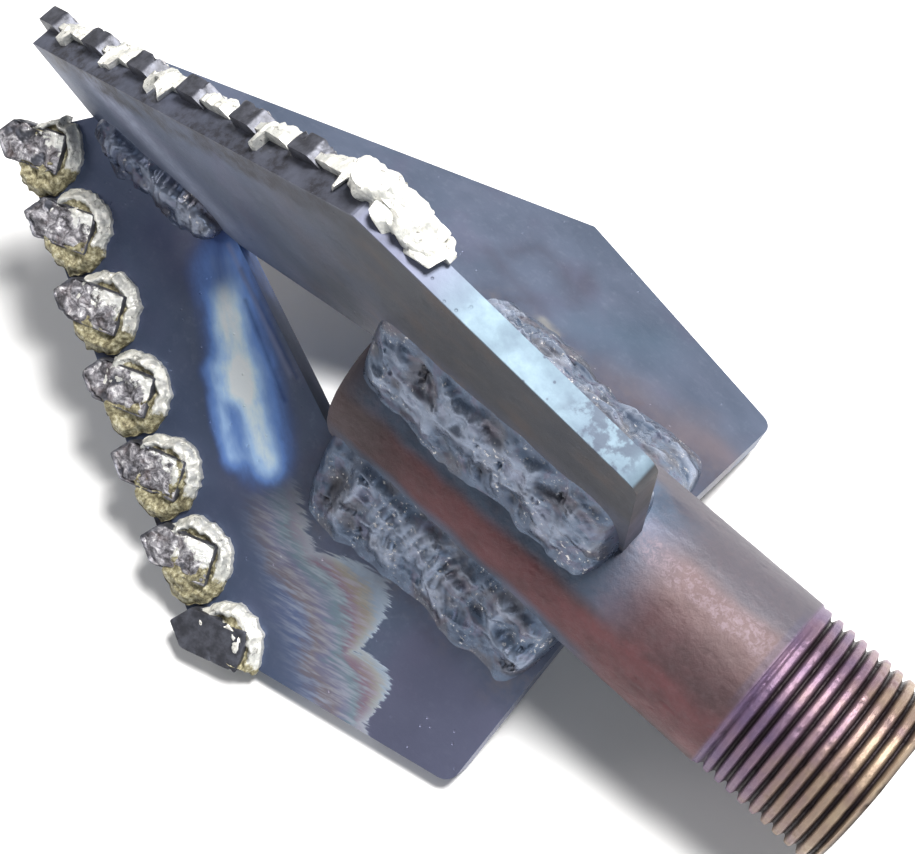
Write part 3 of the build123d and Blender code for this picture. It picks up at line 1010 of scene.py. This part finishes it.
def braze_surface(name, number, lean, outline, settings, seed):
    """One collar of braze as rings round its middle, from under the plate up to a dome.

    Each ring's reach is the collar's radius or the blade's edge with its overhang, whichever
    is nearer. The height rises fast from the rim to a rounded ridge and meets the cutter, with
    puddles and creases on it. Past the edge it hangs down over the plate's thickness. The
    upper blade's collars are bright: fuller, with less flux, and without the moat that the
    others have behind the cutter's heel.
    """
    bright = name == "top"
    if bright:
        spread, droop, ridge, lump_share, dip, stain, moat = 0.38, 2.0, 0.7, 2.0, 0.2, 0.25, 0.0
    else:
        spread, droop, ridge, lump_share, dip, stain = 0.2, 1.2, 0.2, 1.0, 0.8, 1.0
        moat = settings.moat / MM
    plate = blade_axes(BLADES[name])
    axes = cutter_axes(BLADES[name], lean)
    collar = bit_points(f"braze_{name}_{number}")
    solid = collar @ plate.T
    heel = bit_points(f"cutter_{name}_{number}") @ axes.T
    foot, crown = solid[:, 1].min(), solid[:, 1].max()
    face = (bit_points(f"blade_{name}") @ plate.T)[:, 1].max()
    radius = settings.radius / MM
    along_middle = (collar @ axes.T)[:, 2].min() + radius
    across_middle = (heel[:, 0].min() + heel[:, 0].max()) / 2
    phi = np.linspace(0.0, tau, 144, endpoint=False)
    middle = np.array([across_middle, 0.0, along_middle]) @ axes @ plate.T
    spoke = stacked(np.sin(phi), 0.0, np.cos(phi)) @ axes @ plate.T
    uneven = 1.0 - 0.12 * np.abs(rough(spoke * 2.4 + seed, 1.0, seed, 3))
    # it runs out further along the edge, beside the cutter
    beside = np.clip(np.cos(phi - radians(98.0)), 0.0, 1.0) ** 3
    reach = radius * uneven * (1.0 + spread * beside)
    lip = settings.lip / MM * (0.85 + 0.6 * lattice(spoke * 3.0 + seed, 1.0, seed + 1))
    limit = edge_limit(outline, lip, middle, spoke)
    cut_back = limit < reach - 0.3
    reach = np.minimum(reach, limit)
    inner = np.linspace(0.985, 0.0, 40)
    share = np.concatenate([[0.0, 0.5, 0.94, 1.0, 1.0, 1.0], inner])
    wall = smooth(1.0 - inner, -0.12, 0.2)
    rise = np.concatenate([[0.0, 0.0, 0.0, 0.02, 0.2, 0.42], wall])
    hang = droop * (0.6 + 0.9 * lattice(spoke * 4.0 + seed, 1.0, seed + 2))
    bottom = np.where(cut_back, foot - np.maximum(hang, 0.0), face - 0.4)
    top = crown + ridge
    local = middle + share[:, None, None] * reach[None, :, None] * spoke[None]
    local[..., 1] = bottom + (top - bottom) * rise[:, None]
    skin = smooth(rise, 0.3, 0.7)[:, None]
    lumps = 0.5 * pools(local, 3.6, seed) + 0.7 * rough(local, 3.2, seed + 3)
    local[..., 1] += skin * settings.lump / MM * (lumps - 0.4) * lump_share
    # the moat lies inside the ridge, on the inner side and behind the heel
    heel_side = np.clip(smooth(-np.cos(phi), -0.3, 0.6) + smooth(-np.sin(phi), 0.0, 0.8), 0.0, 1.0)
    in_moat = smooth(share, 0.46, 0.58) * (1.0 - smooth(share, 0.66, 0.8))
    broken = smooth(rough(local, 5.0, seed + 6), -0.9, 0.3)
    local[..., 1] -= moat * in_moat[:, None] * heel_side * broken
    # and stays under the cutter's face
    local[..., 1] -= dip * (1.0 - smooth(share, 0.2, 0.42))[:, None] * skin
    local[..., 1] = np.maximum(local[..., 1], bottom + (face + 0.3 - bottom) * rise[:, None])
    bite = np.maximum(rough(local, 2.4, seed + 9), 0.0)[..., None] * 0.5 * skin[..., None]
    local[..., [0, 2]] -= spoke[None][..., [0, 2]] * bite
    flux = smooth(np.sin(phi), -0.15, 0.7)[None] + 0.8 * in_moat[:, None] * heel_side
    return local @ plate, flux * stain


def spill_surface(axes, low, high, seed):
    """A lump of braze over one cutter: a boxy ellipsoid round it, with puddles and creases.

    The sphere's sines and cosines are raised to a power under one, which squares the form.
    """
    up = np.linspace(-pi / 2, pi / 2, 70)[:, None]
    turn = np.linspace(0.0, tau, 120, endpoint=False)[None]
    direction = stacked(np.cos(up) * np.cos(turn), np.sin(up), np.cos(up) * np.sin(turn))
    squared = np.sign(direction) * np.abs(direction) ** 0.55
    past_cutter = np.array([1.0, 1.2, 1.0])
    off_cutter = np.array([-0.2, -1.0, 0.0])
    half = (high - low) / 2 + past_cutter
    local = (low + high) / 2 + off_cutter + squared * half
    lumps = 1.3 * rough(local, 6.5, seed, 4, 0.6) + 0.7 * pools(local, 4.0, seed + 3) - 0.4
    return (local + direction * lumps[..., None]) @ axes


class DRAGBIT_OT_braze(bpy.types.Operator):
    """Makes the lumpy braze collar round each cutter and the spill over the upper blade's last."""

    bl_idname = "dragbit.braze"
    bl_label = "Braze"

    def execute(self, context):
        settings = context.scene.dragbit_braze
        lean = context.scene.dragbit_cutters.lean
        finish = braze_finish(settings)
        seed = 300
        for name in BLADES:
            outline = blade_outline(name)
            for number in CUTTERS:
                seed += 13
                node = f"braze_{name}_{number}"
                points, flux = braze_surface(name, number, lean, outline, settings, seed)
                mesh = make_mesh(f"collar_{name}_{number}", points, values={"flux": flux})
                put(f"collar_{name}_{number}", mesh, finish, node, 60.0)
        axes = cutter_axes(BLADES["top"], lean)
        covered = bit_points(f"cutter_top_{CUTTERS[-1]}") @ axes.T
        points = spill_surface(axes, covered.min(0), covered.max(0), seed)
        mesh = make_mesh("spill_top_7", points, values={"flux": np.zeros(points.shape[:2])})
        put("spill_top_7", mesh, finish, None, 60.0)
        return {"FINISHED"}


# ------------------------------------------------------------------ welds
class WeldSettings(bpy.types.PropertyGroup):
    """Shape and colours of the weld beads."""

    lump: length_setting("Lumps", "Height of the lumps in a bead", 0.0013)
    ripple: length_setting(
        "Ripple", "Distance between the ripples that the weld pool froze into", 0.0026
    )
    waver: length_setting("Waver", "How far a bead's edges wander", 0.0014)
    metal: colour_setting("Weld metal", "Colour of the scaled weld metal", colour("4c5362"))


def weld_finish(settings, name, code):
    """Scaled weld metal with blue, brown and violet pools, painted highlight on raised lumps, painted
    shade in hollows, and bright glassy specks as painted glints.
    """
    f = Finish(name)
    cloud = f.noise(6.0, 5.0, 0.6, 0.5)
    base = f.ramp(
        cloud,
        ((0.28, "3a4356"), (0.42, "4b5a72"), (0.52, "5d7088"), (0.6, "655f76"), (0.74, "7d89a6")),
    )
    base = f.blend(0.3, base, (*settings.metal, 1.0))
    base = f.blend(0.35, base, code)
    brown = f.step(f.noise(9.0, 4.0), 0.5, 0.62)
    base = f.blend(f.times(brown, 0.45), base, "4f443e")
    raised = f.attribute("raised")
    # painted highlight: raised lumps and ripple crests are made paler
    base = f.blend(f.times(f.step(raised, 0.3, 1.0), 0.5), base, "98a2b6")
    # painted shade: hollows and pits are made near-black
    base = f.blend(f.times(f.step(raised, -0.1, -0.9), 0.8), base, "211f26")
    # painted glints: near-white specks that stand for light caught on spatter
    speck_glints = f.times(f.step(f.noise(1.0, 3.0, 0.7), 0.6, 0.66), f.step(f.noise(7.0), 0.48, 0.6))
    base = f.blend(f.times(speck_glints, 0.85), base, "e2dedb")
    relief = f.bump(f.noise(1.2, 5.0, 0.7), 0.12)
    shine = f.step(f.noise(3.0, 4.0), 0.3, 0.7, 0.2, 0.42)
    return f.done(base, shine, 0.55, relief)


def bead(edge_a, edge_b, root, bulge, settings, seed):
    """A weld bead as a section carried along a line.

    Each row has a point on one plate, a point on the other and the root between them. The
    section runs from the first to the second over a low arch, then back behind the root.
    The arch's height is four times the share of the way across times what is left of it,
    raised to 1.3. Lumps, frozen ripples bowed along the bead and a few deep pits are added
    square to the chord, and fade out at the bead's toes and ends.
    """
    rows = len(edge_a)
    v = np.linspace(0.0, 1.0, 64)
    chord = edge_b - edge_a
    out = (edge_a + edge_b) / 2 - root
    out -= chord * (out * chord).sum(-1, keepdims=True) / (chord * chord).sum(-1, keepdims=True)
    out /= np.linalg.norm(out, axis=-1, keepdims=True) + 1e-9
    arch = (4.0 * v * (1.0 - v)) ** 1.3
    points = edge_a[:, None] * (1.0 - v)[None, :, None] + edge_b[:, None] * v[None, :, None]
    puddles = pools(points, 8.5, seed + 5) + 0.4 * pools(points, 4.0, seed + 6)
    lumps = 0.7 * puddles + 0.45 * rough(points, 6.0, seed, 4, 0.5)
    run = np.cumsum(np.r_[0.0, np.linalg.norm(np.diff((edge_a + edge_b) / 2, axis=0), axis=-1)])
    bowed = run[:, None] / (settings.ripple / MM) + 1.6 * (v[None] - 0.5) ** 2 * 4.0
    ripples = np.abs(np.sin(pi * (bowed + 0.5 * lattice(points, 5.0, seed + 2))))
    where = smooth(lattice(points, 11.0, seed + 8), -0.2, 0.5)
    pits = np.maximum(rough(points, 3.0, seed + 11) - 0.75, 0.0) * 2.0
    relief = settings.lump / MM * lumps + 0.4 * where * (ripples - 0.6) - pits
    ends = np.minimum(np.arange(rows), np.arange(rows)[::-1]) / rows
    soft = smooth(arch, 0.0, 0.75)[None] * smooth(ends, 0.0, 0.03)[:, None]
    height = bulge * arch[None] + relief * soft
    points = points + out[:, None] * height[..., None]
    behind = (root - out * 0.35)[:, None]
    under_a = (edge_a - out * 0.4)[:, None]
    under_b = (edge_b - out * 0.4)[:, None]
    points = np.concatenate([points, under_b, behind, under_a], 1)
    raised = np.concatenate([relief * soft, np.zeros((rows, 3))], 1)
    centre = np.broadcast_to(points.mean(1, keepdims=True), points.shape)
    points = np.concatenate([centre[:1], points, centre[-1:]], 0)
    raised = np.concatenate([raised[:1], raised, raised[-1:]], 0)
    return points, raised


def end_taper(z, length):
    """Share of its full size that a bead has at each height along it.

    Over a length at either end it follows a quarter circle: the root of 1 less the square of
    the share of the length still to go, and never under the root of 0.02.
    """
    done = np.clip(np.minimum(z - z[0], z[-1] - z) / length, 0.0, 1.0)
    return np.sqrt(np.clip(1.0 - (1.0 - done) ** 2, 0.02, 1.0))


def put_bead(piece, node, axes, edge_a, edge_b, root, bulge, settings, finish, seed):
    """Makes a bead from lines in a blade's frame, and puts it in place of its node."""
    points, raised = bead(edge_a, edge_b, root, bulge, settings, seed)
    mesh = make_mesh(piece, points @ axes, values={"raised": raised})
    put(piece, mesh, finish, node, 75.0)


class DRAGBIT_OT_pipe_welds(bpy.types.Operator):
    """Makes the rough beads that join the blades to the pipe."""

    bl_idname = "dragbit.pipe_welds"
    bl_label = "Pipe welds"

    def execute(self, context):
        settings = context.scene.dragbit_welds
        finish = weld_finish(settings, "scaled_weld", "4f5b70")
        pipe = bit_points("shank_pipe")
        pipe_r = np.hypot(pipe[:, 0], pipe[:, 1]).max()
        sunk = pipe_r - 0.15
        climb = 5.0  # how much further than its solid a bead climbs the blade
        waver = settings.waver / MM
        seed = 700
        for name, angle in BLADES.items():
            plate = blade_axes(angle)
            half_t = (bit_points(f"blade_{name}") @ plate.T)[:, 1].max()
            foot_r = np.sqrt(pipe_r**2 - half_t**2)
            foot_angle = atan2(half_t, foot_r)
            for sign, side_name in ((1.0, "leading"), (-1.0, "trailing")):
                seed += 17
                node = f"weld_{name}_{side_name}"
                local = bit_points(node) @ plate.T
                low, high = local[:, 2].min(), local[:, 2].max()
                leg_blade = local[:, 0].max() - foot_r
                toe = np.arctan2(np.abs(local[:, 1]), local[:, 0]).max()
                z = np.linspace(low, high, 210)
                track = stacked(seed, 0.0, z)
                taper = end_taper(z, 6.0)
                wander = rough(track, 9.0, seed, 3) * waver
                leg = (leg_blade + climb + wander * 1.5) * taper
                sweep = (toe - foot_angle) * pipe_r + waver
                sweep = (sweep + rough(track, 7.0, seed + 4, 3) * waver) * taper
                toe_at = foot_angle + sweep / pipe_r
                edge_a = stacked(sunk * np.cos(toe_at), sign * sunk * np.sin(toe_at), z)
                edge_b = stacked(foot_r + leg, sign * (half_t - 0.1), z)
                root = stacked(foot_r, sign * half_t, z)
                piece = f"bead_{name}_{side_name}"
                put_bead(piece, node, plate, edge_a, edge_b, root, 0.3, settings, finish, seed)
        return {"FINISHED"}


class DRAGBIT_OT_nose_welds(bpy.types.Operator):
    """Makes the rough seams that join the blades to each other at the nose."""

    bl_idname = "dragbit.nose_welds"
    bl_label = "Nose welds"

    def execute(self, context):
        settings = context.scene.dragbit_welds
        finish = weld_finish(settings, "violet_weld", "3b3a57")
        seed = 900
        for name, angle in BLADES.items():
            seed += 17
            node = f"nose_weld_{name}"
            between = blade_axes(angle + HALF_SPACING)
            local = bit_points(node) @ between.T
            low, high = local[:, 2].min(), local[:, 2].max()
            valley = local[:, 0].min()
            half_width = np.abs(local[:, 1]).max()
            leg_out = local[np.argmax(local[:, 1]), 0]
            z = np.linspace(low, high, 130)
            track = stacked(seed, 0.0, z)
            taper = end_taper(z, 9.0)
            size_a = taper * (1.1 + 0.25 * rough(track, 5.0, seed, 3))
            size_b = taper * (1.1 + 0.25 * rough(track, 5.0, seed + 5, 3))
            edge_a = stacked(valley + (leg_out - valley) * size_a, -half_width * size_a, z)
            edge_b = stacked(valley + (leg_out - valley) * size_b, half_width * size_b, z)
            root = stacked(valley, 0.0, z)
            piece = f"seam_{name}"
            put_bead(piece, node, between, edge_a, edge_b, root, 0.7, settings, finish, seed)
        return {"FINISHED"}


# ------------------------------------------------------------------ stage
class StageSettings(bpy.types.PropertyGroup):
    """Floor, lights and camera."""

    floor: colour_setting("Floor", "Colour of the floor", (0.9, 0.9, 0.9))
    camera_place: FloatVectorProperty(
        name="Camera place",
        description="Where the camera stands",
        default=(-0.04764, 0.09247, 0.33430),
        subtype="XYZ",
        unit="LENGTH",
    )
    lens: FloatProperty(
        name="Lens",
        description="Focal length on a 36 mm wide sensor, in millimetres",
        default=64.35,
        unit="CAMERA",
    )
    shift: FloatProperty(
        name="Vertical shift",
        description="Shift of the frame, as a share of its width",
        default=-0.117,
        subtype="FACTOR",
    )
    world_light: FloatProperty(
        name="Surrounding light",
        description="Strength of the even light from all round",
        default=0.14,
    )
    key_power: FloatProperty(
        name="Key light",
        description="Power of the soft light overhead, in watts",
        default=24.0,
        unit="POWER",
    )
    side_power: FloatProperty(
        name="Side lights",
        description="Power of each low side light, in watts",
        default=2.0,
        unit="POWER",
    )


CAMERA_RIGHT = (-0.72483, -0.68164, -0.09999)
CAMERA_AHEAD = (0.39962, -0.29775, -0.86698)


class DRAGBIT_OT_stage(bpy.types.Operator):
    """Makes the pale floor, the soft lights and the camera."""

    bl_idname = "dragbit.stage"
    bl_label = "Stage"

    def execute(self, context):
        settings = context.scene.dragbit_stage
        scene = context.scene
        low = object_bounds()[0][2]
        mesh = bpy.data.meshes.new("floor")
        ways = ((-1, -1), (1, -1), (1, 1), (-1, 1))
        corners = [(x * FLOOR_REACH, y * FLOOR_REACH, low) for x, y in ways]
        mesh.from_pydata(corners, [], [(0, 1, 2, 3)])
        floor = bpy.data.objects.new("floor", mesh)
        scene.collection.objects.link(floor)
        paint = bpy.data.materials.new("pale_floor")
        paint.use_nodes = True
        shader = paint.node_tree.nodes["Principled BSDF"]
        shader.inputs["Base Color"].default_value = (*settings.floor, 1.0)
        shader.inputs["Roughness"].default_value = 0.9
        mesh.materials.append(paint)
        floor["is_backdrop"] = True
        world = bpy.data.worlds.new("even_light")
        world.use_nodes = True
        surround = world.node_tree.nodes["Background"]
        surround.inputs["Color"].default_value = (0.93, 0.96, 1.0, 1.0)
        surround.inputs["Strength"].default_value = settings.world_light
        scene.world = world
        middle = Vector(cad_box[0]).lerp(Vector(cad_box[1]), 0.5)
        for name, way, size, power, tint in (
            ("key", (-0.20, -0.34, 0.92), 0.30, settings.key_power, (1.0, 0.985, 0.96)),
            ("side", (-0.55, 0.75, 0.40), 0.50, settings.side_power, (0.86, 0.93, 1.0)),
            ("low", (0.80, 0.35, 0.45), 0.40, settings.side_power, (1.0, 0.95, 0.92)),
        ):
            light = bpy.data.lights.new(name, "AREA")
            light.size = size
            light.energy = power
            light.color = tint
            lamp = bpy.data.objects.new(name, light)
            lamp.location = middle + Vector(way)
            lamp.rotation_euler = (-Vector(way)).to_track_quat("-Z", "Y").to_euler()
            scene.collection.objects.link(lamp)
        lens = bpy.data.cameras.new("camera")
        lens.lens = settings.lens
        lens.sensor_width = 36.0
        lens.shift_y = settings.shift
        lens.clip_start = 0.01
        camera = bpy.data.objects.new("camera", lens)
        right = np.array(CAMERA_RIGHT)
        back = -np.array(CAMERA_AHEAD)
        upward = np.cross(back, right)
        camera.rotation_euler = Matrix(np.stack([right, upward, back], 1).tolist()).to_euler()
        camera.location = settings.camera_place
        scene.collection.objects.link(camera)
        scene.camera = camera
        scene.view_settings.view_transform = "Standard"
        return {"FINISHED"}


# ------------------------------------------------------------------ add-on
OPERATORS = (
    DRAGBIT_OT_shank,
    DRAGBIT_OT_blades,
    DRAGBIT_OT_cutters,
    DRAGBIT_OT_braze,
    DRAGBIT_OT_pipe_welds,
    DRAGBIT_OT_nose_welds,
    DRAGBIT_OT_stage,
)
SETTINGS = {
    "dragbit_shank": ShankSettings,
    "dragbit_blades": BladeSettings,
    "dragbit_cutters": CutterSettings,
    "dragbit_braze": BrazeSettings,
    "dragbit_welds": WeldSettings,
    "dragbit_stage": StageSettings,
}


class DRAGBIT_PT_pieces(bpy.types.Panel):
    """Lists the pieces that the add-on makes."""

    bl_idname = "DRAGBIT_PT_pieces"
    bl_label = "Drag bit"
    bl_space_type = "VIEW_3D"
    bl_region_type = "UI"
    bl_category = "Drag bit"

    def draw(self, context):
        for operator in OPERATORS:
            self.layout.operator(operator.bl_idname)


def register():
    for kind in (*SETTINGS.values(), *OPERATORS, DRAGBIT_PT_pieces):
        bpy.utils.register_class(kind)
    for name, kind in SETTINGS.items():
        setattr(bpy.types.Scene, name, PointerProperty(type=kind))


def unregister():
    for name in SETTINGS:
        delattr(bpy.types.Scene, name)
    for kind in (DRAGBIT_PT_pieces, *reversed(OPERATORS), *reversed(SETTINGS.values())):
        bpy.utils.unregister_class(kind)


def main():
    """Registers the add-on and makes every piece."""
    register()
    for operator in OPERATORS:
        group, name = operator.bl_idname.split(".")
        getattr(getattr(bpy.ops, group), name)()


if __name__ == "__main__":
    main()
